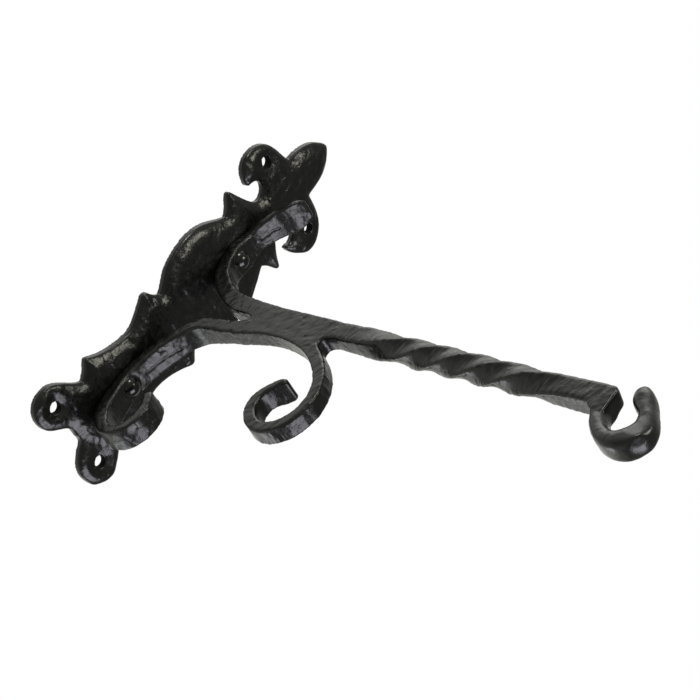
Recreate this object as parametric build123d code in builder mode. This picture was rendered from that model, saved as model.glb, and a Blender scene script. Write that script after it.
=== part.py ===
from build123d import *
import math
import os

os.makedirs("parts", exist_ok=True)

# ---------------------------------------------------------------------------
# Plant basket hook, millimetres.
# x = 0 is the wall face, +X runs out along the arm, +Z is up, y = 0 is the
# plane of symmetry. z = 0 is halfway between the two rows of screw holes.
# ---------------------------------------------------------------------------

# Wall plate
plate_rim = 4.0            # thickness at the rim
plate_field = 6.2          # thickness of the raised body inside the rim
plate_edge = 0.8           # chamfer round the front of the rim
field_edge = 1.6           # slope round the raised body
screw_hole_d = 6.6
top_hole_y, top_hole_z = 25.0, 90.0
foot_hole_y, foot_hole_z = 21.4, -90.0

# Rivets
rivet_head_d = 10.2
rivet_head_h = 3.2
rivet_shank_d = 5.0
upper_rivet_z = 40.3
lower_rivet_z = -54.0
upper_seat_x = 12.3        # strap face under the upper head
lower_seat_x = 12.4        # strap face under the lower head

# Arm
arm_z = 8.1                # centre height of the square bar
bar_root = 10.0            # square at the root of the bar
bar_mid = 11.1             # square where the twist begins
bar_end = 10.8             # square at the hook end
bar_round = 1.0            # corner radius of the bar
twist_start, twist_end = 128.0, 270.5
twist_ease_in, twist_ease_out = 41.0, 44.0
quarter_turns = 5
bar_x0, bar_x1 = 117.0, 284.0
body_w = 9.8               # width of fork, arch and scroll
lower_strap_w = 13.8
scroll_end_w = 13.4

# ---------------------------------------------------------------------------
# Wall plate outline (y, z), each side from the top point down to the crotch
# between the feet. Each run is a smooth curve; runs meet at corners. The two
# sides differ by a millimetre or two, as hand-cut pattern work does. Values
# of y are distances from the mid-plane, positive on the side named.
# ---------------------------------------------------------------------------
outline_left = [
    [(1.2, 129.7), (3.9, 128.5), (6.8, 126.0), (9.3, 123.3), (11.1, 120.4), (12.6, 116.7),
     (13.5, 113.0), (14.1, 109.0), (14.4, 103.7)],
    [(14.4, 103.7), (18.9, 102.1), (23.4, 100.9), (28.0, 99.2), (32.2, 96.6), (35.0, 93.0),
     (36.4, 88.8), (36.6, 84.6), (35.8, 80.6), (33.7, 77.0), (30.8, 74.4), (27.3, 73.0), (23.6, 72.7)],
    [(23.6, 72.7), (22.2, 73.7)],
    [(22.2, 73.7), (21.9, 76.4), (20.9, 79.0), (18.4, 80.8), (15.6, 80.5), (13.4, 79.0),
     (12.0, 77.0), (11.4, 74.4), (12.0, 72.0), (14.2, 69.8), (18.0, 67.4), (22.2, 65.2), (28.6, 62.1)],
    [(28.6, 62.1), (29.4, 60.8), (28.6, 59.2)],
    [(28.6, 59.2), (25.0, 56.3), (21.4, 53.4), (20.0, 51.2)],
    [(20.0, 51.2), (21.4, 48.7), (24.4, 44.0), (27.2, 39.3), (29.1, 34.9), (30.3, 30.0),
     (30.6, 23.6), (30.1, 17.6), (28.8, 11.6), (26.7, 5.6), (24.0, 1.2), (21.4, -2.2), (18.8, -6.4)],
    [(18.8, -6.4), (21.6, -9.4), (25.7, -11.7)],
    [(25.7, -11.7), (26.7, -13.8), (26.0, -16.0)],
    [(26.0, -16.0), (23.6, -19.8), (21.7, -23.2), (19.8, -27.0), (18.5, -30.4), (18.1, -34.2),
     (18.4, -38.3), (19.3, -42.8), (20.9, -48.5), (23.0, -53.6), (26.1, -58.8)],
    [(26.1, -58.8), (26.9, -60.8), (26.0, -62.8)],
    [(26.0, -62.8), (22.4, -65.7), (19.1, -69.9)],
    [(19.1, -69.9), (22.7, -74.3), (27.3, -78.3), (31.1, -82.4), (33.2, -86.4), (33.7, -90.4),
     (32.8, -94.9), (30.5, -98.9), (26.5, -101.6), (21.4, -102.6), (16.4, -101.4), (12.8, -98.6),
     (10.0, -95.2), (8.2, -93.0), (6.2, -91.2), (3.4, -90.6), (-0.4, -90.9)],
]
outline_right = [
    [(-1.2, 129.7), (1.4, 128.4), (4.2, 126.0), (6.8, 122.9), (8.8, 119.4), (10.2, 115.4),
     (11.0, 111.8), (11.5, 108.0), (11.9, 102.9)],
    [(11.9, 102.9), (16.0, 102.6), (20.8, 102.0), (25.3, 100.9), (29.8, 98.7), (33.5, 95.5),
     (36.1, 91.6), (37.4, 87.2), (37.2, 83.8), (35.6, 80.4), (32.6, 77.0), (29.6, 74.2),
     (26.4, 72.4), (23.6, 71.6)],
    [(23.6, 71.6), (22.4, 72.6)],
    [(22.4, 72.6), (23.1, 75.4), (22.3, 78.4), (19.8, 80.6), (16.4, 80.8), (13.6, 79.2),
     (12.0, 77.0), (11.4, 74.4), (12.0, 72.0), (14.2, 69.6), (18.0, 66.9), (22.4, 64.6), (27.6, 62.6)],
    [(27.6, 62.6), (28.5, 61.2), (27.8, 59.7)],
    [(27.8, 59.7), (24.6, 57.9), (21.2, 55.4), (19.1, 52.9)],
    [(19.1, 52.9), (20.2, 50.8), (22.6, 47.1), (24.8, 43.3), (27.0, 39.4), (28.9, 35.6),
     (30.3, 30.6), (30.8, 24.0), (30.3, 17.6), (28.9, 11.6), (26.8, 6.0), (24.0, 1.0), (19.4, -6.6)],
    [(19.4, -6.6), (21.9, -9.3), (25.0, -11.9)],
    [(25.0, -11.9), (26.8, -13.9), (26.5, -16.2)],
    [(26.5, -16.2), (25.1, -18.7), (22.9, -23.1), (21.0, -27.9), (19.7, -32.4), (18.9, -37.4),
     (18.9, -41.5), (20.2, -47.0), (22.6, -53.0), (26.1, -58.9)],
    [(26.1, -58.9), (26.8, -61.0), (25.6, -63.2)],
    [(25.6, -63.2), (22.2, -65.9), (19.2, -69.9)],
    [(19.2, -69.9), (22.6, -74.2), (27.4, -79.0), (31.2, -83.8), (33.4, -87.4), (33.8, -90.4),
     (32.9, -94.2), (31.2, -97.2), (28.4, -100.5), (24.6, -102.0), (20.2, -102.6), (15.7, -101.7),
     (12.0, -99.6), (9.2, -96.8), (7.0, -94.0), (5.2, -91.4), (3.2, -90.5), (0.4, -90.9)],
]

# Raised body inside the rim, right half: a plain run about 4 mm inside the edge.
field_run = [
    (0.0, 121.0), (5.0, 117.0), (8.0, 109.0), (9.6, 100.5), (18.0, 97.5), (25.0, 94.0),
    (30.0, 88.0), (30.8, 83.4), (28.0, 79.4), (23.8, 83.4), (17.6, 85.6), (10.6, 82.8),
    (7.6, 75.0), (9.6, 67.4), (17.0, 63.0), (21.4, 60.2), (16.4, 51.6), (20.6, 44.6),
    (24.4, 36.0), (26.4, 26.0), (25.2, 14.0), (20.8, 4.0), (14.8, -6.6), (21.0, -14.6),
    (17.6, -24.0), (15.0, -35.0), (16.2, -47.0), (20.4, -58.0), (14.6, -68.6), (17.6, -76.4),
    (20.6, -80.2), (14.0, -82.4), (6.4, -83.6), (0.0, -83.6),
]


def run_edges(runs, side):
    """Draw the outline runs as straight pieces or smooth curves, on one side."""
    for pts in runs:
        p = [(side * y, z) for y, z in pts]
        if len(p) == 2:
            Line(p[0], p[1])
        else:
            Spline(p)


# ---------------------------------------------------------------------------
# back_plate
# ---------------------------------------------------------------------------
with BuildPart() as back_plate:
    with BuildSketch(Plane.YZ) as plate_sk:
        with BuildLine() as plate_ln:
            run_edges(outline_right, 1)
            run_edges(outline_left, -1)
        make_face()
    extrude(amount=plate_rim)
    front_edges = back_plate.faces().sort_by(Axis.X)[-1].outer_wire().edges()
    chamfer(front_edges, length=plate_edge)
    with BuildSketch(Plane.YZ.offset(plate_rim - 0.4)) as field_sk:
        with BuildLine() as field_ln:
            Polyline(*field_run)
            Polyline(*[(-y, z) for y, z in field_run])
        make_face()
    extrude(amount=plate_field - plate_rim + 0.4)
    field_edges = back_plate.faces().sort_by(Axis.X)[-1].outer_wire().edges()
    chamfer(field_edges, length=field_edge)
    # four screw holes
    with BuildSketch(Plane.YZ) as hole_sk:
        with Locations((top_hole_y, top_hole_z), (-top_hole_y, top_hole_z),
                       (foot_hole_y, foot_hole_z), (-foot_hole_y, foot_hole_z)):
            Circle(screw_hole_d / 2)
    extrude(amount=plate_field + 5, mode=Mode.SUBTRACT)
    # two rivet holes
    with BuildSketch(Plane.YZ) as rivet_sk:
        with Locations((0, upper_rivet_z), (0, lower_rivet_z)):
            Circle(rivet_shank_d / 2)
    extrude(amount=plate_field + 5, mode=Mode.SUBTRACT)
back_plate.part.label = "back_plate"
export_step(back_plate.part, "parts/back_plate.step")
# ---------------------------------------------------------------------------
# bracket_arm: side profiles in the XZ plane
# ---------------------------------------------------------------------------

# Upper strap: front face from the fork up to the leaf, then the back face down.
upper_front = [(36.0, 16.6), (31.6, 17.9), (26.6, 20.6), (21.6, 23.8), (17.4, 27.4), (14.6, 31.4),
               (13.2, 36.0), (12.7, 41.0), (12.2, 46.5), (11.9, 51.5), (12.5, 55.5), (14.0, 60.2),
               (16.3, 64.6), (19.2, 68.7), (22.4, 72.6), (25.0, 76.4), (26.6, 80.4), (27.5, 84.6)]
upper_back = [(25.2, 85.2), (24.0, 81.4), (22.2, 77.8), (19.6, 74.0), (16.2, 70.0), (12.9, 65.8),
              (10.2, 61.4), (8.0, 56.4), (6.5, 51.0), (6.1, 45.0), (6.1, 38.0), (6.6, 31.0),
              (8.6, 25.2), (12.0, 20.4), (16.4, 16.6), (21.8, 12.9), (28.4, 9.5), (36.0, 6.4)]
# Half width of the upper strap against height: neck, rivet seat, waist, leaf.
upper_plan = [(5.0, 5.0), (5.0, 18.0), (5.5, 25.0), (6.1, 31.0), (7.0, 36.0), (7.7, 41.5),
              (7.3, 46.5), (6.5, 51.5), (6.3, 55.5), (6.8, 60.2), (7.5, 65.0), (8.2, 69.5),
              (8.6, 74.0), (8.3, 78.4), (7.2, 81.6), (5.2, 84.0), (2.7, 85.3), (0.0, 85.7)]

# Lower strap: front (and under) face from the arch down and round the curl.
lower_front = [(40.0, -10.7), (34.4, -11.5), (29.6, -13.2), (25.6, -16.4), (22.2, -20.6),
               (19.4, -25.4), (17.2, -30.4), (15.4, -35.6), (13.9, -40.6), (12.9, -45.6),
               (12.4, -50.4), (12.6, -55.2), (13.4, -60.4), (14.8, -66.4), (16.9, -72.0),
               (20.2, -77.0), (24.6, -80.6), (29.2, -81.7), (33.2, -80.4), (36.2, -77.2),
               (37.8, -72.8), (37.7, -68.0), (36.2, -63.2), (33.2, -58.9)]
lower_back = [(36.6, -56.2), (40.2, -60.2), (42.7, -65.6), (43.3, -71.6), (41.9, -77.8),
              (38.4, -83.0), (33.2, -86.4), (27.2, -87.5), (21.0, -86.2), (15.4, -82.4),
              (11.2, -76.8), (8.4, -69.8), (6.8, -62.6), (6.1, -55.4), (6.2, -49.0), (6.9, -43.4),
              (8.2, -37.8), (9.9, -32.4), (12.0, -27.0), (14.6, -21.8), (17.8, -16.8),
              (21.6, -12.0), (26.6, -7.6), (32.8, -4.9), (40.0, -3.4)]
# Half width along x where the strap narrows into the arch.
arch_plan = [(24.0, 6.9), (30.0, 6.9), (35.0, 6.5), (41.0, 5.8), (48.0, 5.2), (56.0, 5.0),
             (64.0, 5.0)]
arch_top = [(24.0, -9.9), (28.0, -6.7), (33.1, -4.9), (39.8, -3.5), (46.7, -2.2), (54.0, -0.4),
            (64.0, 2.0)]
arch_under = [(64.0, -6.9), (59.9, -7.8), (52.9, -8.9), (45.7, -9.9), (40.0, -10.7),
              (34.4, -11.5), (29.6, -13.2), (26.2, -15.8), (24.0, -18.2)]

# Fork, deep part of the bar and scroll, one outline.
body_top = [(24.0, 21.9), (28.6, 19.5), (33.0, 17.4), (38.0, 16.2), (46.0, 15.1), (57.0, 14.1),
            (66.0, 13.55), (80.0, 13.2), (94.0, 13.15), (107.0, 13.2), (115.0, 13.1), (122.0, 12.7)]
crotch = [(122.0, 3.7), (118.4, 3.1), (115.2, 2.0), (113.5, 0.0), (113.7, -2.6), (116.6, -5.3)]
scroll_outer = [(116.6, -5.3), (122.2, -9.1), (127.0, -13.1), (131.1, -17.6), (134.3, -22.6),
                (136.5, -28.2), (137.5, -34.0), (137.1, -40.2), (135.3, -46.2), (132.8, -50.7),
                (129.5, -54.3), (125.3, -57.2), (120.5, -58.8), (115.5, -58.9), (110.7, -57.4),
                (106.4, -54.4), (103.1, -50.4), (101.4, -45.8), (101.5, -41.0), (103.1, -36.6),
                (106.1, -32.8), (109.6, -30.1)]
scroll_inner = [(111.6, -32.2), (109.2, -34.9), (107.1, -38.4), (106.3, -42.0),
                (107.0, -45.6), (109.0, -48.8), (111.9, -51.1), (115.0, -52.5), (118.2, -52.8),
                (121.4, -52.1), (124.4, -50.7), (127.0, -48.5), (129.2, -45.7), (130.9, -42.3),
                (131.9, -38.4), (132.1, -34.6), (131.4, -30.6), (129.8, -26.5), (127.0, -22.2),
                (123.4, -18.3), (118.9, -14.8), (113.9, -11.6), (108.6, -9.0), (102.3, -6.8),
                (96.0, -5.5), (87.7, -4.6), (79.9, -4.5), (73.1, -5.2), (66.4, -6.4),
                (59.9, -7.8), (52.9, -8.9)]
fork_inner = [(52.9, -0.7), (56.4, 0.9), (57.6, 2.6), (56.2, 4.0), (51.0, 4.9), (45.0, 5.1),
              (40.0, 5.4), (35.4, 6.9), (28.6, 9.7), (24.0, 12.2)]

# Flattened end of the scroll: its two faces in profile, and its half width
# drawn along the strap itself.
end_outer = [(103.6, -39.6), (104.3, -36.4), (106.6, -32.9), (110.0, -29.5), (114.5, -27.4)]
end_inner = [(115.4, -29.5), (112.4, -32.3), (109.4, -35.2), (106.8, -38.4), (105.2, -41.4)]
scroll_end_plan = [(-16.0, 5.8), (-12.0, 6.0), (-8.0, 6.4), (-4.6, 6.8), (-1.6, 6.9)]
scroll_end_tip = [(-1.6, 6.9), (-0.2, 6.0), (0.7, 3.6), (0.9, 0.0)]
# Half width of the scroll where it spreads towards its end.
scroll_turn_plan = [(99.0, 6.0), (104.0, 5.9), (109.0, 5.7), (114.0, 5.3), (120.0, 4.92)]

# Hook, one row for each section from the leg under the bar to the finger: the
# outer and inner points of its centre plane, its half widths towards -Y and +Y,
# how square its outer and inner sides are, and how far the outer side leans.
hook_sections = [
    ((276.9, 3.9), (286.9, 9.7), 4.9, 4.9, 4.0, 4.0, 0.0),
    ((279.0, 0.4), (287.3, 5.8), 5.15, 5.15, 3.6, 3.2, 0.0),
    ((281.3, -2.4), (287.8, 1.9), 5.2, 5.2, 3.4, 2.6, 0.0),
    ((284.2, -7.0), (289.9, -2.3), 5.8, 5.8, 3.6, 2.5, 0.02),
    ((288.3, -11.5), (292.8, -5.6), 6.3, 6.1, 3.5, 2.5, 0.06),
    ((293.8, -15.1), (296.3, -7.5), 6.9, 6.2, 3.5, 2.5, 0.10),
    ((300.8, -16.9), (299.8, -7.2), 7.4, 6.2, 3.5, 2.4, 0.12),
    ((307.7, -15.5), (302.2, -5.0), 7.5, 6.0, 3.5, 2.4, 0.14),
    ((312.8, -10.5), (303.4, -2.2), 7.0, 5.9, 3.4, 2.4, 0.12),
    ((314.2, -3.8), (303.7, 0.8), 6.2, 5.8, 3.2, 2.5, 0.08),
    ((312.4, 2.2), (302.6, 3.4), 5.6, 5.8, 2.8, 2.5, 0.03),
    ((309.6, 6.6), (299.9, 5.8), 5.5, 6.6, 2.6, 2.6, 0.0),
    ((307.0, 10.4), (296.5, 8.6), 5.5, 6.9, 2.6, 2.6, 0.0),
    ((304.2, 14.2), (294.5, 12.4), 5.5, 6.0, 2.6, 2.6, 0.0),
    ((300.7, 17.3), (294.8, 16.0), 4.5, 4.2, 2.4, 2.4, 0.0),
    ((298.1, 18.7), (296.9, 18.4), 1.4, 1.4, 2.0, 2.0, 0.0),
]
hook_split = 9             # the leg and bowl end, and the finger starts, at this section
bar_end_block = [(276.2, 3.4), (279.9, -0.2), (287.7, -0.6), (287.8, 11.2), (286.4, 13.35), (276.2, 13.35)]


def hook_section_plane(row):
    """Plane of a hook section: x outward through the metal, y along Y."""
    (ox, oz), (ix, iz) = row[0], row[1]
    long = math.hypot(ox - ix, oz - iz)
    dx, dz = (ox - ix) / long, (oz - iz) / long
    return Plane(origin=((ox + ix) / 2, 0, (oz + iz) / 2), x_dir=(dx, 0, dz), z_dir=(-dz, 0, dx))


def hook_section_points(row, count=16):
    """Closed outline of a hook section in its own plane."""
    (ox, oz), (ix, iz), near, far, outer_power, inner_power, lean = row
    half = math.hypot(ox - ix, oz - iz) / 2
    points = []
    for k in range(count):
        c, d = math.cos(2 * math.pi * k / count), math.sin(2 * math.pi * k / count)
        power = outer_power if c > 0 else inner_power
        r = (abs(c) ** power + abs(d) ** power) ** (-1 / power)
        a, b = r * c, r * d
        if a > 0:
            a *= 1 - lean * b
        points.append((half * a, b * (near if b < 0 else far)))
    return points


XZ = Plane((0, 0, 0), x_dir=(1, 0, 0), z_dir=(0, -1, 0))

with BuildPart() as upper_strap:
    with BuildSketch(XZ) as us_side:
        with BuildLine():
            Spline(upper_front)
            Line(upper_front[-1], upper_back[0])
            Spline(upper_back)
            Line(upper_back[-1], upper_front[0])
        make_face()
    extrude(amount=12, both=True)
    with BuildSketch(Plane.YZ) as us_plan:
        with BuildLine():
            Spline(upper_plan + [(-w, h) for w, h in reversed(upper_plan[:-1])])
            Line((-upper_plan[0][0], upper_plan[0][1]), upper_plan[0])
        make_face()
    extrude(amount=60, mode=Mode.INTERSECT)

with BuildPart() as lower_strap:
    with BuildSketch(XZ) as ls_side:
        with BuildLine():
            Spline(lower_front)
            Line(lower_front[-1], lower_back[0])
            Spline(lower_back)
            Line(lower_back[-1], lower_front[0])
        make_face()
    extrude(amount=lower_strap_w / 2, both=True)
    # keep the strap and curl; the arch beyond takes over with its own width
    with BuildSketch(Plane.XY.offset(-14)) as ls_cut:
        with Locations((45, 0)):
            Rectangle(34, 40)
    extrude(amount=30, mode=Mode.SUBTRACT)

with BuildPart() as arch:
    with BuildSketch(XZ) as arch_side:
        with BuildLine():
            Spline(arch_top)
            Line(arch_top[-1], arch_under[0])
            Spline(arch_under)
            Line(arch_under[-1], arch_top[0])
        make_face()
    extrude(amount=12, both=True)
    with BuildSketch(Plane.XY.offset(-30)) as arch_width:
        with BuildLine():
            Spline(arch_plan)
            Line(arch_plan[-1], (arch_plan[-1][0], -arch_plan[-1][1]))
            Spline([(x, -w) for x, w in reversed(arch_plan)])
            Line((arch_plan[0][0], -arch_plan[0][1]), arch_plan[0])
        make_face()
    extrude(amount=50, mode=Mode.INTERSECT)

with BuildPart() as fork_and_scroll:
    with BuildSketch(XZ) as fs_side:
        with BuildLine():
            Spline(body_top)
            Line(body_top[-1], crotch[0])
            Spline(crotch)
            Spline(scroll_outer)
            Line(scroll_outer[-1], scroll_inner[0])
            Spline(scroll_inner)
            Line(scroll_inner[-1], fork_inner[0])
            Spline(fork_inner)
            Line(fork_inner[-1], body_top[0])
        make_face()
    extrude(amount=body_w / 2, both=True)

with BuildPart() as scroll_turn:
    extrude(to_extrude=fs_side.sketch, amount=12, both=True)
    with BuildSketch(Plane.XY.offset(-62)) as st_plan:
        with BuildLine():
            Spline(scroll_turn_plan)
            Line(scroll_turn_plan[-1], (scroll_turn_plan[-1][0], -scroll_turn_plan[-1][1]))
            Spline([(x, -w) for x, w in reversed(scroll_turn_plan)])
            Line((scroll_turn_plan[0][0], -scroll_turn_plan[0][1]), scroll_turn_plan[0])
        make_face()
    extrude(amount=32, mode=Mode.INTERSECT)

with BuildPart() as scroll_end:
    with BuildSketch(XZ) as se_side:
        with BuildLine():
            Spline(end_outer)
            Line(end_outer[-1], end_inner[0])
            Spline(end_inner)
            Line(end_inner[-1], end_outer[0])
        make_face()
    extrude(amount=12, both=True)
    end_plane = Plane(origin=(114.9, 0, -28.5), x_dir=(0.80, 0, 0.60), z_dir=(0.60, 0, -0.80))
    with BuildSketch(end_plane) as se_plan:
        with BuildLine():
            Spline(scroll_end_plan)
            Spline(scroll_end_tip + [(u, -w) for u, w in reversed(scroll_end_tip[:-1])])
            Spline([(u, -w) for u, w in reversed(scroll_end_plan)])
            Line((scroll_end_plan[0][0], -scroll_end_plan[0][1]), scroll_end_plan[0])
        make_face()
    extrude(amount=25, both=True, mode=Mode.INTERSECT)


def bar_half(x):
    """Half the bar's square at x: it swells into the twist and tapers a little towards the hook."""
    swell = max(0.0, min(1.0, (x - bar_x0) / 26.0))
    taper = (x - bar_x0) / (bar_x1 - bar_x0)
    tuck = max(0.0, 1 - (x - bar_x0) / 4.5, 1 - (bar_x1 - x) / 4.5)  # ends run inside their neighbours
    return (bar_root + (bar_mid - bar_root) * swell + (bar_end - bar_mid) * taper) / 2 - 0.5 * tuck


def twist_table(step=1.0):
    """Twist angle (degrees) against x, easing in and out."""
    xs, rate = [], []
    x = twist_start
    while x <= twist_end + 1e-9:
        xs.append(x)
        rate.append(min(1.0, (x - twist_start) / twist_ease_in, (twist_end - x) / twist_ease_out))
        x += step
    acc, out = 0.0, [0.0]
    for i in range(1, len(xs)):
        acc += (rate[i] + rate[i - 1]) / 2 * (xs[i] - xs[i - 1])
        out.append(acc)
    k = -90.0 * quarter_turns / acc
    return xs, [a * k for a in out]


twist_xs, twist_as = twist_table()


def twist_at(x):
    if x <= twist_xs[0]:
        return 0.0
    if x >= twist_xs[-1]:
        return -90.0 * quarter_turns
    i = min(int(x - twist_xs[0]), len(twist_xs) - 2)
    f = x - twist_xs[i]
    return twist_as[i] + (twist_as[i + 1] - twist_as[i]) * f


bar_stations = [bar_x0 + (bar_x1 - bar_x0) * i / 56 for i in range(57)]


def bar_section(x):
    """Square with trimmed corners, turned by the twist at x."""
    h, c = bar_half(x), bar_round * 0.75
    a = math.radians(twist_at(x))
    pts = [(h, -h + c), (h, h - c), (h - c, h), (-h + c, h),
           (-h, h - c), (-h, -h + c), (-h + c, -h), (h - c, -h)]
    return [(p * math.cos(a) - q * math.sin(a), p * math.sin(a) + q * math.cos(a)) for p, q in pts]


with BuildPart() as square_bar:
    for bx in bar_stations:
        with BuildSketch(Plane((bx, 0, arm_z), x_dir=(0, 1, 0), z_dir=(1, 0, 0))):
            with BuildLine():
                Polyline(*bar_section(bx), close=True)
            make_face()
    loft()

with BuildPart() as hook_bowl:
    for hook_row in hook_sections[:hook_split + 1]:
        with BuildSketch(hook_section_plane(hook_row)):
            with BuildLine():
                Spline(hook_section_points(hook_row), periodic=True)
            make_face()
    loft()

with BuildPart() as hook_finger:
    for hook_row in hook_sections[hook_split:]:
        with BuildSketch(hook_section_plane(hook_row)):
            with BuildLine():
                Spline(hook_section_points(hook_row), periodic=True)
            make_face()
    loft()

with BuildPart() as bar_tip:
    with BuildSketch(XZ) as bar_tip_side:
        with BuildLine():
            Polyline(*bar_end_block, close=True)
        make_face()
    extrude(amount=bar_end / 2, both=True)

# ---------------------------------------------------------------------------
# bracket_arm: the forged pieces above are one solid
# ---------------------------------------------------------------------------
with BuildPart() as bracket_arm:
    add(fork_and_scroll.part)
    add(upper_strap.part)
    add(arch.part)
    add(lower_strap.part)
    add(scroll_turn.part)
    add(scroll_end.part)
    add(square_bar.part)
    add(hook_bowl.part)
    add(hook_finger.part)
    add(bar_tip.part)
    # flat backs where the straps bear on the plate
    with BuildSketch(Plane.YZ.offset(plate_field - 3)) as bearing:
        Rectangle(60, 260)
    extrude(amount=3, mode=Mode.SUBTRACT)
    # spot faces under the rivet heads, and the rivet holes
    with BuildSketch(Plane.YZ.offset(upper_seat_x)) as upper_spot:
        with Locations((0, upper_rivet_z)):
            Circle(rivet_head_d / 2 + 0.2)
    extrude(amount=4, mode=Mode.SUBTRACT)
    with BuildSketch(Plane.YZ.offset(lower_seat_x)) as lower_spot:
        with Locations((0, lower_rivet_z)):
            Circle(rivet_head_d / 2 + 0.2)
    extrude(amount=4, mode=Mode.SUBTRACT)
    with BuildSketch(Plane.YZ) as shank_holes:
        with Locations((0, upper_rivet_z), (0, lower_rivet_z)):
            Circle(rivet_shank_d / 2)
    extrude(amount=17, mode=Mode.SUBTRACT)
bracket_arm.part.label = "bracket_arm"
export_step(bracket_arm.part, "parts/bracket_arm.step")


def rivet_profile(z, seat):
    """Half section of a domed rivet: shank finished flush at the wall face."""
    r, h = rivet_head_d / 2, rivet_head_h
    rs = rivet_shank_d / 2
    Polyline((0, z), (0, z + rs), (seat, z + rs), (seat, z + r), (seat + 0.7, z + r))
    RadiusArc((seat + 0.7, z + r), (seat + h, z), ((h - 0.7) ** 2 + r ** 2) / (2 * (h - 0.7)))
    Line((seat + h, z), (0, z))


with BuildPart() as upper_rivet:
    with BuildSketch(XZ) as ur_sk:
        with BuildLine():
            rivet_profile(upper_rivet_z, upper_seat_x)
        make_face()
    revolve(axis=Axis((0, 0, upper_rivet_z), (1, 0, 0)))
upper_rivet.part.label = "upper_rivet"
export_step(upper_rivet.part, "parts/upper_rivet.step")

with BuildPart() as lower_rivet:
    with BuildSketch(XZ) as lr_sk:
        with BuildLine():
            rivet_profile(lower_rivet_z, lower_seat_x)
        make_face()
    revolve(axis=Axis((0, 0, lower_rivet_z), (1, 0, 0)))
lower_rivet.part.label = "lower_rivet"
export_step(lower_rivet.part, "parts/lower_rivet.step")

for piece in (back_plate, bracket_arm, upper_rivet, lower_rivet):
    bb = piece.part.bounding_box()
    print(piece.part.label, piece.part.is_valid, len(piece.solids()), round(piece.part.volume),
          [round(v, 1) for v in (bb.min.X, bb.min.Y, bb.min.Z, bb.max.X, bb.max.Y, bb.max.Z)])
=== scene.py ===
import math

import bpy
import numpy as np
from mathutils import Matrix, Vector, kdtree


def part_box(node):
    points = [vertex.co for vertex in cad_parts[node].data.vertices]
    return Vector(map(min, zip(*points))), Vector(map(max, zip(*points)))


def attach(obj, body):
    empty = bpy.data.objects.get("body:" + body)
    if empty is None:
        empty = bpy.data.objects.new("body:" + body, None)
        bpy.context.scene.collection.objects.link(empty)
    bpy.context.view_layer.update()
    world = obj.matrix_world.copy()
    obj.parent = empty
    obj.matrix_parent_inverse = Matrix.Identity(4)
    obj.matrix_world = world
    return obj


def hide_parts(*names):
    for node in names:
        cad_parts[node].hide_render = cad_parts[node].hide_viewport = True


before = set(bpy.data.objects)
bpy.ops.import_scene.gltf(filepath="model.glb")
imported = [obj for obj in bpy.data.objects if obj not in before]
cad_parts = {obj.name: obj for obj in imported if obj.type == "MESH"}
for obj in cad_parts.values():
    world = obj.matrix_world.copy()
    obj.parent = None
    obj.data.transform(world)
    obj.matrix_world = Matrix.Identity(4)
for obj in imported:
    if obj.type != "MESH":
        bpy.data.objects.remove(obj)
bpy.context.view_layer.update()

MM = 0.001


# ---------------------------------------------------------------------------
# Seeded noise, evaluated on arrays of points in millimetres
# ---------------------------------------------------------------------------
def _hash(ix, iy, iz, seed):
    """Four random numbers in 0..1 for each lattice cell."""
    h = (ix.astype(np.int64) * 73856093) ^ (iy.astype(np.int64) * 19349663) ^ (iz.astype(np.int64) * 83492791)
    h = (h + seed * 2654435761) & 0xFFFFFFFF
    out = []
    for k in range(4):
        h = (h ^ (h >> 16)) * 0x45D9F3B & 0xFFFFFFFF
        h = (h ^ (h >> 15)) * 0x2C1B3C6D & 0xFFFFFFFF
        h = (h ^ (h >> 13)) & 0xFFFFFFFF
        out.append((h & 0xFFFFFF) / float(0xFFFFFF))
    return out


def value_noise(P, cell, seed):
    """Smooth noise, about -1..1."""
    q = P / cell
    i = np.floor(q).astype(np.int64)
    f = q - i
    w = f * f * f * (f * (f * 6 - 15) + 10)
    acc = np.zeros(len(P))
    for dx in (0, 1):
        for dy in (0, 1):
            for dz in (0, 1):
                a, b, c, _ = _hash(i[:, 0] + dx, i[:, 1] + dy, i[:, 2] + dz, seed)
                g = (a * 2 - 1) * (f[:, 0] - dx) + (b * 2 - 1) * (f[:, 1] - dy) + (c * 2 - 1) * (f[:, 2] - dz)
                ww = (w[:, 0] if dx else 1 - w[:, 0]) * (w[:, 1] if dy else 1 - w[:, 1]) * (w[:, 2] if dz else 1 - w[:, 2])
                acc += g * ww
    return acc * 1.6


def fractal(P, cell, seed, octaves=3, gain=0.5):
    out, amp, tot = np.zeros(len(P)), 1.0, 0.0
    for k in range(octaves):
        out += amp * value_noise(P, cell / 2 ** k, seed + 17 * k)
        tot += amp
        amp *= gain
    return out / tot


def hammer(P, cell, seed, soft=0.35, tilt=1.0, lift=0.5, stretch=(1, 1, 1)):
    """Hammered facets: each blow leaves a small plane, blended where blows meet.

    Returns a height in units of about -1..1, for a cell size in millimetres."""
    S = np.array(stretch, float)
    q = P / (cell * S)
    i = np.floor(q).astype(np.int64)
    num = np.zeros(len(P))
    den = np.zeros(len(P)) + 1e-9
    for dx in (-1, 0, 1):
        for dy in (-1, 0, 1):
            for dz in (-1, 0, 1):
                a, b, c, d = _hash(i[:, 0] + dx, i[:, 1] + dy, i[:, 2] + dz, seed)
                e, g, h, _ = _hash(i[:, 0] + dx, i[:, 1] + dy, i[:, 2] + dz, seed + 101)
                v = q - np.stack([i[:, 0] + dx + a, i[:, 1] + dy + b, i[:, 2] + dz + c], 1)
                d2 = (v ** 2).sum(1)
                w = np.exp(-d2 / (2 * soft * soft))
                plane = ((e - 0.5) * v[:, 0] + (g - 0.5) * v[:, 1] + (h - 0.5) * v[:, 2]) * 2 * tilt + (d - 0.5) * 2 * lift
                num += w * plane
                den += w
    return num / den


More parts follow.
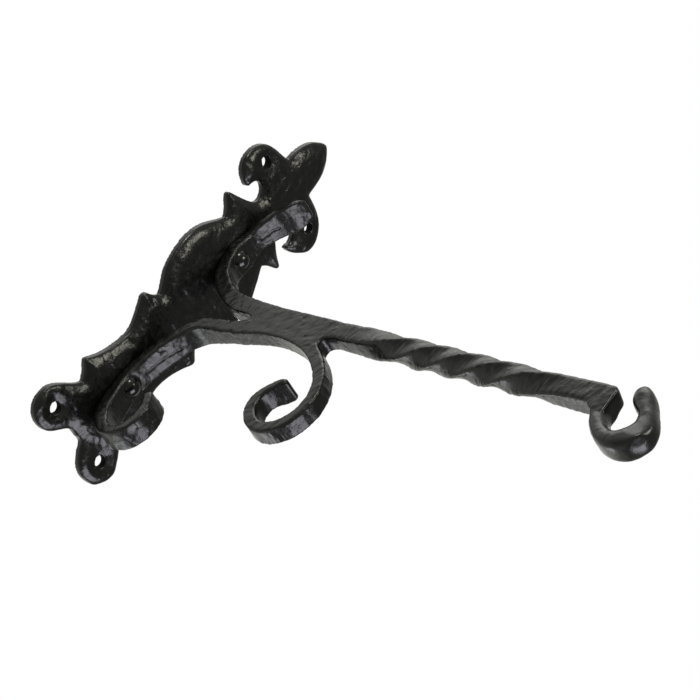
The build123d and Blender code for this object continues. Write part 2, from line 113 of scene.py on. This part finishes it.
def smooth(x, a, b):
    t = np.clip((x - a) / (b - a), 0, 1)
    return t * t * (3 - 2 * t)


# ---------------------------------------------------------------------------
# Mesh helpers
# ---------------------------------------------------------------------------
def remeshed(node, name, voxel):
    """A closed, even quad mesh of a CAD node, as a new object."""
    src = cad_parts[node]
    tmp = bpy.data.objects.new(name, src.data.copy())
    bpy.context.scene.collection.objects.link(tmp)
    m = tmp.modifiers.new("remesh", "REMESH")
    m.mode = "VOXEL"
    m.voxel_size = voxel * MM
    m.adaptivity = 0.0
    dg = bpy.context.evaluated_depsgraph_get()
    mesh = bpy.data.meshes.new_from_object(tmp.evaluated_get(dg))
    bpy.data.objects.remove(tmp)
    mesh.name = name
    mesh.materials.clear()
    obj = bpy.data.objects.new(name, mesh)
    bpy.context.scene.collection.objects.link(obj)
    return obj


def coords(mesh):
    co = np.zeros(len(mesh.vertices) * 3, np.float64)
    mesh.vertices.foreach_get("co", co)
    return co.reshape(-1, 3) / MM


def set_coords(mesh, P):
    mesh.vertices.foreach_set("co", (np.asarray(P) * MM).astype(np.float32).ravel())
    mesh.update()


def edges_of(mesh):
    e = np.zeros(len(mesh.edges) * 2, np.int64)
    mesh.edges.foreach_get("vertices", e)
    return e.reshape(-1, 2)


def relax(P, E, n, lam, mu=None, mask=None):
    """Laplacian smoothing (with mu: the shrink-free kind) on arrays."""
    deg = np.bincount(E.ravel(), minlength=len(P)).astype(float)[:, None]
    for k in range(n):
        for f in ((lam,) if mu is None else (lam, mu)):
            s = np.zeros_like(P)
            for a in range(3):
                s[:, a] = (np.bincount(E[:, 0], P[E[:, 1], a], len(P))
                           + np.bincount(E[:, 1], P[E[:, 0], a], len(P)))
            d = s / deg - P
            P = P + f * (d if mask is None else d * mask[:, None])
    return P


def normals_of(mesh, P):
    """Area-weighted vertex normals of the quad mesh at positions P."""
    n = len(mesh.polygons)
    tot = np.zeros(n, np.int64)
    mesh.polygons.foreach_get("loop_total", tot)
    start = np.zeros(n, np.int64)
    mesh.polygons.foreach_get("loop_start", start)
    loops = np.zeros(len(mesh.loops), np.int64)
    mesh.loops.foreach_get("vertex_index", loops)
    N = np.zeros_like(P)
    a, b = loops[start], loops[start + 1]
    c, d = loops[start + 2], loops[start + np.minimum(3, tot - 1)]
    fn = np.cross(P[c] - P[a], P[d] - P[b])
    tri = tot == 3
    fn[tri] = np.cross(P[b[tri]] - P[a[tri]], P[c[tri]] - P[a[tri]])
    for idx in (a, b, c, d):
        for k in range(3):
            N[:, k] += np.bincount(idx, fn[:, k], len(P))
    return N / np.maximum(np.linalg.norm(N, axis=1), 1e-12)[:, None]


def inside(P, node, margin=0.02):
    lo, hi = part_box(node)
    lo, hi = np.array(lo) / MM + margin, np.array(hi) / MM - margin
    return np.clip(P, lo, hi)


def finish_piece(obj, node, material):
    for p in obj.data.polygons:
        p.use_smooth = True
    obj.data.materials.append(material)
    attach(obj, "root")
    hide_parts(node)


# ---------------------------------------------------------------------------
# Material: black paint over hammered iron
# ---------------------------------------------------------------------------
def paint(name, base, rough, coat, bump=0.25, scale=900.0, mottle=0.35):
    mat = bpy.data.materials.new(name)
    mat.use_nodes = True
    nt = mat.node_tree
    nt.nodes.clear()
    out = nt.nodes.new("ShaderNodeOutputMaterial")
    bs = nt.nodes.new("ShaderNodeBsdfPrincipled")
    nt.links.new(bs.outputs[0], out.inputs[0])
    tc = nt.nodes.new("ShaderNodeTexCoord")

    def noise(sc, detail, rough_=0.55):
        n = nt.nodes.new("ShaderNodeTexNoise")
        n.inputs["Scale"].default_value = sc
        n.inputs["Detail"].default_value = detail
        n.inputs["Roughness"].default_value = rough_
        nt.links.new(tc.outputs["Object"], n.inputs["Vector"])
        return n

    # colour: near black, a little browner and lighter where the coat is thin
    n1 = noise(160.0, 5)
    ramp = nt.nodes.new("ShaderNodeValToRGB")
    ramp.color_ramp.elements[0].position = 0.30
    ramp.color_ramp.elements[1].position = 0.72
    lo = [c * (1 - mottle) for c in base]
    hi = [base[0] * (1 + mottle), base[1] * (1 + mottle * 0.97), base[2] * (1 + mottle * 0.88)]
    ramp.color_ramp.elements[0].color = (*lo, 1)
    ramp.color_ramp.elements[1].color = (*hi, 1)
    nt.links.new(n1.outputs["Fac"], ramp.inputs["Fac"])
    nt.links.new(ramp.outputs["Color"], bs.inputs["Base Color"])
    # roughness: satin with duller patches
    n2 = noise(320.0, 4)
    mr = nt.nodes.new("ShaderNodeMapRange")
    mr.inputs["From Min"].default_value = 0.3
    mr.inputs["From Max"].default_value = 0.7
    mr.inputs["To Min"].default_value = rough - 0.04
    mr.inputs["To Max"].default_value = rough + 0.07
    nt.links.new(n2.outputs["Fac"], mr.inputs["Value"])
    nt.links.new(mr.outputs["Result"], bs.inputs["Roughness"])
    # fine relief of the coat: orange peel over small pits
    n3 = noise(scale, 3)
    n4 = noise(scale * 0.38, 4)
    mix = nt.nodes.new("ShaderNodeMath")
    mix.operation = "MULTIPLY_ADD"
    mix.inputs[1].default_value = 1.6
    nt.links.new(n4.outputs["Fac"], mix.inputs[0])
    nt.links.new(n3.outputs["Fac"], mix.inputs[2])
    bp = nt.nodes.new("ShaderNodeBump")
    bp.inputs["Strength"].default_value = bump
    bp.inputs["Distance"].default_value = 0.0004
    nt.links.new(mix.outputs[0], bp.inputs["Height"])
    nt.links.new(bp.outputs["Normal"], bs.inputs["Normal"])
    bs.inputs["Coat Weight"].default_value = coat
    bs.inputs["Coat Roughness"].default_value = 0.16
    bs.inputs["Specular IOR Level"].default_value = 0.5
    return mat


mat_plate = paint("plate_black_paint", (0.0042, 0.0042, 0.0040), 0.24, 0.0, bump=0.15, scale=1100.0)
mat_arm = paint("arm_black_paint", (0.0046, 0.0046, 0.0044), 0.27, 0.0, bump=0.16, scale=1100.0)
mat_rivet = paint("rivet_black_paint", (0.0036, 0.0036, 0.0034), 0.13, 0.0, bump=0.02, scale=1100.0)
# painted shade: the screw-hole walls get a rough black with little specular, so the bores read dark as if shaded
mat_bore_painted_shade = paint("bore_painted_shade_black", (0.0040, 0.0040, 0.0038), 0.85, 0.0, bump=0.15, scale=1100.0)
mat_bore_painted_shade.node_tree.nodes["Principled BSDF"].inputs["Specular IOR Level"].default_value = 0.12


def nearest(Q, R):
    """Distance from each 2-D point of Q to the nearest of R."""
    kd = kdtree.KDTree(len(R))
    for i, (a, b) in enumerate(R):
        kd.insert((a, b, 0.0), i)
    kd.balance()
    return np.array([kd.find((a, b, 0.0))[2] for a, b in Q])


def along(P, line):
    """Distance from points to a polyline (3-D), and how far along it they are."""
    line = np.asarray(line, float)
    best = np.full(len(P), 1e9)
    where = np.zeros(len(P))
    s0 = 0.0
    for a, b in zip(line[:-1], line[1:]):
        ab = b - a
        L = np.linalg.norm(ab)
        t = np.clip(((P - a) @ ab) / (L * L), 0, 1)
        d = np.linalg.norm(P - (a + t[:, None] * ab), axis=1)
        k = d < best
        best[k] = d[k]
        where[k] = s0 + t[k] * L
        s0 += L
    return best, where / s0


def groove(P, line, width, depth, sharp=1.0):
    """A valley of the given half width and depth along a line, fading at its ends."""
    d, t = along(P, line)
    fade = smooth(t, 0.0, 0.12) * (1 - smooth(t, 0.88, 1.0))
    return -depth * np.exp(-(d / width) ** (2 * sharp)) * fade


def spot(P, centre, radius, height):
    d = np.linalg.norm(P - np.asarray(centre, float), axis=1)
    return height * np.exp(-(d / radius) ** 2)


def facet(P, centre, normal, radius, through, strength=1.0):
    """A hammered flat: points near the centre are drawn to the plane through a point."""
    n = np.asarray(normal, float)
    n = n / np.linalg.norm(n)
    w = strength * np.exp(-(np.linalg.norm(P - np.asarray(centre, float), axis=1) / radius) ** 4)
    return P - n * (((P - np.asarray(through, float)) @ n) * w)[:, None]


def bore_faces(obj, material, bores):
    """Give the walls of bores along X (y, z, radius in mm) a rough black that hardly reflects: painted shade inside
    the holes.
    """
    obj.data.materials.append(material)
    n = len(obj.data.polygons)
    c = np.zeros(n * 3)
    obj.data.polygons.foreach_get("center", c)
    c = c.reshape(-1, 3) / MM
    nor = np.zeros(n * 3)
    obj.data.polygons.foreach_get("normal", nor)
    nor = nor.reshape(-1, 3)
    idx = np.zeros(n, np.int32)
    for cy, cz, r in bores:
        q = np.hypot(c[:, 1] - cy, c[:, 2] - cz)
        idx[(q < r + 0.25) & (np.abs(nor[:, 0]) < 0.6)] = 1
    obj.data.polygons.foreach_set("material_index", idx)


# ---------------------------------------------------------------------------
# Back plate
# ---------------------------------------------------------------------------
HOLES = [(25.0, 90.0), (-25.0, 90.0), (21.4, -90.0), (-21.4, -90.0)]
HOLE_R = 3.3

plate = remeshed("back_plate", "back_plate_look", 0.535)
P = coords(plate.data)
E = edges_of(plate.data)
N = normals_of(plate.data, P)
bore = np.full(len(P), 1e9)
for cy, cz in HOLES:
    bore = np.minimum(bore, np.hypot(P[:, 1] - cy, P[:, 2] - cz))
wall = (np.abs(N[:, 0]) < 0.35) & (P[:, 0] > 0.8) & (P[:, 0] < 2.6) & (bore > 5.5)
for cz in (40.3, -54.0):
    wall &= np.hypot(P[:, 1], P[:, 2] - cz) > 4.0
top = (P[:, 0] > 2.9) & (N[:, 0] > 0.15)
d = np.zeros(len(P))
d[top] = nearest(P[top][:, 1:], P[wall][:, 1:])
# the raised body: a pillow that falls away to the rim all round
rim = 3.25 + 0.70 * (1 - np.exp(-d / 0.5))
crown = 5.90 - 3.95
# the feet lie lower than the body, with a soft step between
step = np.zeros(len(P))
for side in (-1, 1):
    t = (side * P[:, 1] - 14.0) * 0.43 + (P[:, 2] + 82.3) * -0.90
    step = np.maximum(step, smooth(t + 0.9 * value_noise(P, 4.0, 77), -1.9, 2.8) * smooth(side * P[:, 1], 1.0, 5.0))
rise = 1 - (1 - np.clip((d - 0.3) / (7.4 - 3.0 * step), 0, 1)) ** 1.7
face = rim + rise * crown * (1 - 0.42 * step)
for k, (cy, cz) in enumerate(HOLES):
    q = np.hypot(P[:, 1] - cy, P[:, 2] - cz)
    near = 1 - smooth(q, 3.0, 11.0 if k < 2 else 9.0)
    low = 4.8 if k < 2 else 4.0
    face = face * (1 - near) + np.minimum(face, low) * near
w = smooth(P[:, 0], 2.9, 3.3) * smooth(N[:, 0], 0.15, 0.45)
X = P[:, 0] * (1 - w) + face * w
P[:, 0] = X
P = relax(P, E, 3, 0.5, -0.52)
N = normals_of(plate.data, P)
front = smooth(N[:, 0], 0.35, 0.8) * smooth(P[:, 0], 2.9, 3.6)
deep = smooth(d, 0.6, 3.0)
h = (0.30 * fractal(P, 15.0, 40, 2) * deep
     + 0.26 * hammer(P, 5.6, 3, soft=0.24) * (0.35 + 0.65 * deep)
     + 0.10 * hammer(P, 2.3, 31, soft=0.26)
     + 0.05 * fractal(P, 1.5, 8, 2))
calm = np.exp(-(np.hypot(P[:, 1] + 28.0, (P[:, 2] - 27.0) * 0.45) / 5.0) ** 2)
h *= 1 - 0.65 * calm
h += spot(P, (5.9, -8.7, 94.6), 1.1, 0.40)
P = P + N * (front * h)[:, None]
side_h = 0.05 * fractal(P, 3.0, 14, 2)
P = P + N * ((1 - front) * (P[:, 0] > 0.6) * side_h)[:, None]
for cy, cz in HOLES:
    v = P[:, 1:] - (cy, cz)
    q = np.linalg.norm(v, axis=1)
    k = (q < HOLE_R + 0.22) & (q > 2.5) | ((q < HOLE_R + 0.62) & (P[:, 0] < 0.55))
    P[k, 1:] = (cy, cz) + v[k] / q[k][:, None] * HOLE_R
    P[k & (P[:, 0] < 0.3), 0] = 0.0
P = inside(P, "back_plate")
set_coords(plate.data, P)
finish_piece(plate, "back_plate", mat_plate)
bore_faces(plate, mat_bore_painted_shade, [(cy, cz, HOLE_R) for cy, cz in HOLES])
print("plate polygons", len(plate.data.polygons))

# ---------------------------------------------------------------------------
# Bracket arm
# ---------------------------------------------------------------------------
arm = remeshed("bracket_arm", "bracket_arm_look", 0.59)
P = coords(arm.data)
E = edges_of(arm.data)
x, y, z = P.T
hook_zone = smooth(x, 281.0, 287.0) * smooth(4.0 - z + (x - 288.0) * 1.2, 0.0, 4.0)
bar_zone = smooth(x, 116.0, 124.0) * (1 - smooth(x, 280.0, 287.0))
tip_zone = smooth(x, 283.0, 287.0) * smooth(z, 4.0, 8.0) * (1 - smooth(x, 290.0, 291.0))
P = relax(P, E, 3, 0.5, -0.5)
P = relax(P, E, 9, 0.5, None, np.maximum(np.maximum(0.5 * hook_zone, 0.9 * bar_zone), 0.55 + 0 * x))
P = relax(P, E, 44, 0.5, None, tip_zone * smooth(y + 0.5 * (z - 9.0), -0.5, 4.0))
N = normals_of(arm.data, P)
P = P + N * (0.20 + 0.10 * bar_zone)[:, None]      # the coat of paint, and what smoothing took off
x, y, z = P.T
sides = smooth(np.abs(N[:, 1]), 0.55, 0.9)
strap_up = smooth(z, 18.0, 30.0) * (1 - smooth(x, 34.0, 44.0))
strap_low = smooth(-z, 12.0, 20.0) * (1 - smooth(x, 46.0, 52.0))
scroll = smooth(-z, 4.0, 12.0) * smooth(x, 84.0, 96.0) * (1 - smooth(x, 150, 160))
arch = (1 - strap_up) * (1 - strap_low) * (1 - scroll) * (1 - bar_zone) * (1 - smooth(x, 276, 282))
flat = 1 - sides
# near and far faces: hammered over, with slanting strokes
u = np.stack([x * 0.80 + z * 0.60, y, -x * 0.60 + z * 0.80], 1)
body = sides * (1 - bar_zone) * (1 - 0.7 * hook_zone)
h = body * (0.26 * hammer(P, 5.0, 21, soft=0.24) + 0.17 * hammer(u, 2.0, 25, soft=0.22, stretch=(2.2, 1, 1))
            + 0.07 * fractal(P, 1.5, 5, 2))
# straps: large planished facets that lean every way, and small strokes over them
straps = np.maximum(strap_up, strap_low)
h += flat * straps * (0.42 * hammer(P, 6.4, 22, soft=0.20, tilt=1.0, lift=0.3) + 0.09 * hammer(P, 2.2, 28, soft=0.24)
                      + 0.05 * fractal(P, 1.3, 6, 2))
h += flat * arch * (0.14 * hammer(P, 4.4, 32, soft=0.24) + 0.14 * hammer(u, 1.7, 33, soft=0.24, stretch=(2.4, 1, 1))
                    + 0.06 * fractal(P, 1.3, 36, 2))
h += flat ** 2 * scroll * (0.15 * hammer(P, 2.4, 23, soft=0.24, stretch=(1, 4.0, 1), tilt=1.3)
                      + 0.14 * hammer(P, 5.0, 29, soft=0.24, tilt=1.3) + 0.05 * fractal(P, 1.3, 16, 2))
h += hook_zone * (0.14 * hammer(P, 4.6, 34, soft=0.28) + 0.05 * hammer(P, 1.8, 35, soft=0.26) + 0.03 * fractal(P, 1.3, 37, 2))
# twisted bar: fine strokes across it, and broad hollows along it
ang = np.stack([x * 0.90 - z * 0.4, np.arctan2(y, z - 8.1) * 5.5, x * 0], 1)
h += bar_zone * (1 - hook_zone) * (0.17 * hammer(ang, 1.5, 24, soft=0.24, stretch=(1, 3.4, 1)) + 0.20 * hammer(P, 5.4, 26, soft=0.28)
                 + 0.06 * fractal(P, 1.5, 7, 2))
# dents across the leaf and a crease down each strap
h += flat * (spot(P * (1, 0.25, 1), (23.4, 0, 75.0), 2.4, 0.30) - spot(P * (1, 0.25, 1), (19.4, 0, 69.2), 2.2, 0.30))
h += groove(P, [(12.9, 0.3, 56.0), (13.5, 0.7, 59.0), (16.0, 0.2, 64.0), (18.8, 1.2, 68.2)], 0.65, 0.32)
h += groove(P, [(12.9, 0.2, -45.0), (13.5, 0.5, -42.7), (16.2, 0.4, -33.4), (20.2, 1.6, -24.1), (23.0, 1.8, -20.0)], 0.65, 0.34)
# a shallow dimple round each rivet head
for rx, rz in ((12.3, 40.3), (12.4, -54.0)):
    rho = np.hypot(y, z - rz)
    near = (1 - smooth(np.abs(x - rx), 2.5, 5.0)) * (N[:, 0] > 0.2)
    h -= near * 0.28 * np.exp(-((rho - 6.3) / 0.9) ** 2)
P = P + N * h[:, None]
# hammered flats: the bowl of the hook
P = facet(P, (311.0, -7.0, -9.6), (0.860, -0.08, -0.50), 4.4, (312.6, -2.4, -10.3), 0.85)
P = relax(P, E, 4, 0.5, None, np.exp(-(np.linalg.norm(P - np.array([311.0, -7.0, -9.6]), axis=1) / 8.0) ** 4))
P = inside(P, "bracket_arm")
set_coords(arm.data, P)
finish_piece(arm, "bracket_arm", mat_arm)
print("arm polygons", len(arm.data.polygons))

# ---------------------------------------------------------------------------
# Rivets
# ---------------------------------------------------------------------------
for k, node in enumerate(("upper_rivet", "lower_rivet")):
    r = remeshed(node, node + "_look", 0.2)
    P = coords(r.data)
    E = edges_of(r.data)
    P = relax(P, E, 8, 0.5, -0.5)
    N = normals_of(r.data, P)
    P = P + N * (0.03 * fractal(P, 3.0, 60 + k, 2) * smooth(P[:, 0], 11.0, 13.0))[:, None]
    P = inside(P, node)
    set_coords(r.data, P)
    finish_piece(r, node, mat_rivet)

# ---------------------------------------------------------------------------
# Stage
# ---------------------------------------------------------------------------
def stage_material(name, col):
    m = bpy.data.materials.new(name)
    m.use_nodes = True
    b = m.node_tree.nodes["Principled BSDF"]
    b.inputs["Base Color"].default_value = (*col, 1)
    b.inputs["Roughness"].default_value = 0.9
    b.inputs["Specular IOR Level"].default_value = 0.1
    return m


bpy.ops.mesh.primitive_plane_add(size=2.2, location=(0.13, 0.0, -2.4))
floor = bpy.context.object
floor.name = "floor"
floor.data.materials.append(stage_material("floor_pale", (0.82, 0.82, 0.82)))

world = bpy.data.worlds.new("studio")
bpy.context.scene.world = world
world.use_nodes = True
wn = world.node_tree
wn.nodes.clear()


def aim(az, el):
    a, e = math.radians(az), math.radians(el)
    return Vector((math.cos(e) * math.cos(a), math.cos(e) * math.sin(a), math.sin(e)))


def lobe(az, el, inner, outer, amount):
    """A soft round patch of the studio walls, lighter or darker than the rest."""
    dot = wn.nodes.new("ShaderNodeVectorMath")
    dot.operation = "DOT_PRODUCT"
    dot.inputs[1].default_value = aim(az, el)
    wn.links.new(wtc.outputs["Generated"], dot.inputs[0])
    mr = wn.nodes.new("ShaderNodeMapRange")
    mr.interpolation_type = "SMOOTHSTEP"
    mr.inputs["From Min"].default_value = math.cos(math.radians(outer))
    mr.inputs["From Max"].default_value = math.cos(math.radians(inner))
    mr.inputs["To Min"].default_value = 0.0
    mr.inputs["To Max"].default_value = amount
    wn.links.new(dot.outputs["Value"], mr.inputs["Value"])
    return mr.outputs["Result"]


wtc = wn.nodes.new("ShaderNodeTexCoord")
level = None
for patch in ((40, -6, 45, 100, -0.38), (75, 32, 15, 50, -0.06), (-85, -18, 15, 58, -0.30), (-145, 62, 8, 36, 0.95),
              (125, -50, 5, 30, 0.36), (145, 10, 15, 50, 0.50), (160, 55, 8, 32, -0.20)):
    out = lobe(*patch)
    if level is None:
        add = wn.nodes.new("ShaderNodeMath")
        add.operation = "ADD"
        add.inputs[1].default_value = 0.59
        wn.links.new(out, add.inputs[0])
    else:
        add = wn.nodes.new("ShaderNodeMath")
        add.operation = "ADD"
        wn.links.new(level, add.inputs[0])
        wn.links.new(out, add.inputs[1])
    level = add.outputs[0]
wo = wn.nodes.new("ShaderNodeOutputWorld")
mixw = wn.nodes.new("ShaderNodeMixShader")
lp = wn.nodes.new("ShaderNodeLightPath")
bg_cam = wn.nodes.new("ShaderNodeBackground")
bg_cam.inputs["Color"].default_value = (1, 1, 1, 1)
bg_cam.inputs["Strength"].default_value = 1.0
bg = wn.nodes.new("ShaderNodeBackground")
bg.inputs["Color"].default_value = (1.0, 0.995, 0.94, 1)
wn.links.new(level, bg.inputs["Strength"])
wn.links.new(lp.outputs["Is Camera Ray"], mixw.inputs[0])
wn.links.new(bg.outputs[0], mixw.inputs[1])
wn.links.new(bg_cam.outputs[0], mixw.inputs[2])
wn.links.new(mixw.outputs[0], wo.inputs[0])


def softbox(name, direction, dist, size, watts, colour=(1, 1, 1), target=(0.13, 0, 0.0)):
    d = Vector(direction).normalized()
    L = bpy.data.lights.new(name, "AREA")
    L.shape = "RECTANGLE"
    L.size, L.size_y = size
    L.energy = watts
    L.color = colour
    o = bpy.data.objects.new(name, L)
    o.location = Vector(target) + d * dist
    o.rotation_euler = (-d).to_track_quat("-Z", "Y").to_euler()
    bpy.context.scene.collection.objects.link(o)
    return o


softbox("strap_box", aim(41, -18), 2.4, (1.25, 1.50), 29.0, (0.90, 0.90, 1.0))
softbox("front_box", aim(-2, 32), 0.9, (0.22, 0.26), 1.75, (1.0, 0.985, 0.84))
softbox("side_panel", (-0.68, -0.50, 0.32), 0.90, (0.60, 0.62), 0.42, (1.0, 1.0, 0.97), (0.06, 0.0, 0.0))
softbox("edge_box", aim(-64, 25), 0.9, (0.20, 0.24), 2.0, (1.0, 0.99, 0.94))
softbox("under_box", aim(118, -48), 0.6, (0.24, 0.24), 0.5, (0.93, 0.95, 1.0))
softbox("top_box", (-0.35, -0.45, 0.85), 1.2, (0.9, 0.9), 3.5)

# camera
Rm = ((0.68623, 0.44031, 0.57897), (-0.17423, -0.67329, 0.71856), (0.70620, -0.59397, -0.38532))
cam_data = bpy.data.cameras.new("camera")
cam_data.lens = 1719.6107 / 700 * 36
cam_data.sensor_width = 36
cam_data.clip_start = 0.05
cam_data.clip_end = 50
cam = bpy.data.objects.new("camera", cam_data)
right, up, back = (Vector(r).normalized() for r in Rm)
M = Matrix(((right.x, up.x, back.x, 0.71541), (right.y, up.y, back.y, -0.49229),
            (right.z, up.z, back.z, -0.31792), (0, 0, 0, 1)))
cam.matrix_world = M
bpy.context.scene.collection.objects.link(cam)
bpy.context.scene.camera = cam
bpy.context.scene.view_settings.view_transform = "Standard"
